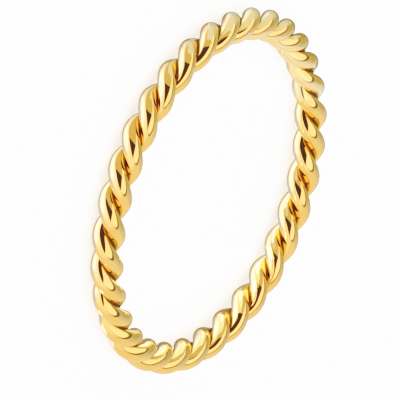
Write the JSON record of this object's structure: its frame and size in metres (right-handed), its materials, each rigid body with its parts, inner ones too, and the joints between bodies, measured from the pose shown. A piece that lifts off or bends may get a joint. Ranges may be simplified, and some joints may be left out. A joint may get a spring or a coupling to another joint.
{
  "type": "rope twist ring",
  "caption": "Slim finger ring of round wires twisted together like a rope, fused where they touch and closed into a polished yellow gold band.",
  "frame": {"origin": "under the centre of the ring, on the plane that the ring rests on when it lies on its side", "axes": "+Z is the ring's own axis, the way a finger goes through it, and points up. +X goes through a place where the two wires lie side by side, one inside the other, and +Y follows from the right-hand rule"},
  "size_m": [0.0207, 0.0208, 0.0018],
  "materials": {
    "gold": "mirror-polished 14-carat yellow gold"
  },
  "bodies": {
    "root": {"twisted_band": "gold"}
  },
  "joints": []
}
